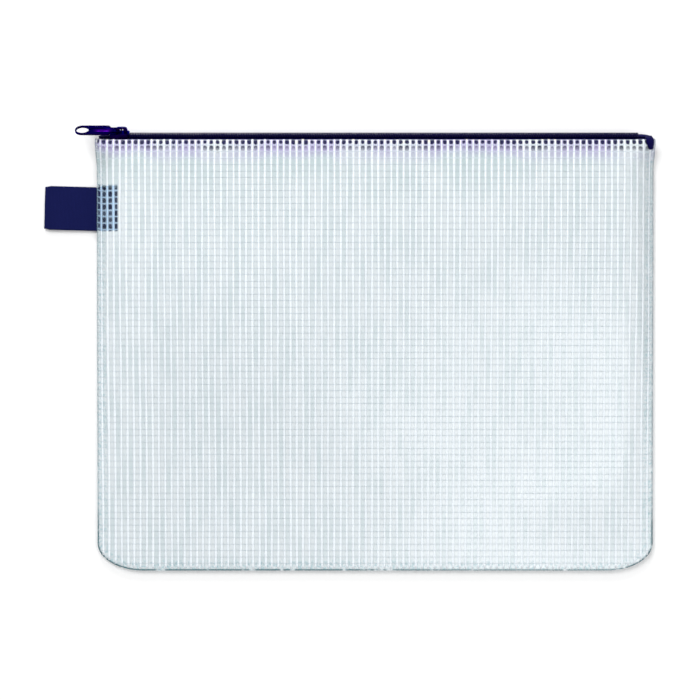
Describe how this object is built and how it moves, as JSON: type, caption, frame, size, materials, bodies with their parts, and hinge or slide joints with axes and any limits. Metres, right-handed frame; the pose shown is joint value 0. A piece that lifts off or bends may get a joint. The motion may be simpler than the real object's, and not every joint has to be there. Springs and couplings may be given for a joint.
{
  "type": "zipper pouch",
  "caption": "Flat pouch of clear film with a white thread grid, closed by a dark coil zipper along the top, with a pull tab and a folded ribbon loop at the side.",
  "frame": {"origin": "centre of the back panel's flat underside, on which the pouch lies", "axes": "+X along the zipper, from the slider's closed end to its open end; +Y from the bottom seam to the zipper; +Z out of the front panel"},
  "size_m": [0.2795, 0.2033, 0.0113],
  "materials": {
    "film": "clear film with a white thread grid",
    "tape": "woven",
    "coil": "satin",
    "enamel": "gloss",
    "ribbon": "woven",
    "thread": "matte"
  },
  "bodies": {
    "pouch": {"back_panel": "film", "front_panel": "film", "side_and_bottom_seam": "film", "upper_left_seam": "film", "front_zip_tape": "tape", "back_zip_tape": "tape", "zip_end_turn": "tape", "front_zip_stitch": "thread", "back_zip_stitch": "thread", "front_coil": "coil", "back_coil": "coil", "ribbon_loop": "ribbon"},
    "slider": {"slider_body": "enamel"},
    "pull": {"pull_tab": "enamel"}
  },
  "joints": [
    {"name": "slider_slide", "type": "slide", "parent": "pouch", "child": "slider", "axis": [1, 0, 0], "range_m": [0, 0.231], "deforming": ["front_coil", "back_coil"]},
    {"name": "pull_flip", "type": "hinge", "parent": "slider", "child": "pull", "pos_m": [-0.1154, 0.10249, 0.00767], "axis": [0, 0.454, -0.891], "range_deg": [0, 172]}
  ]
}
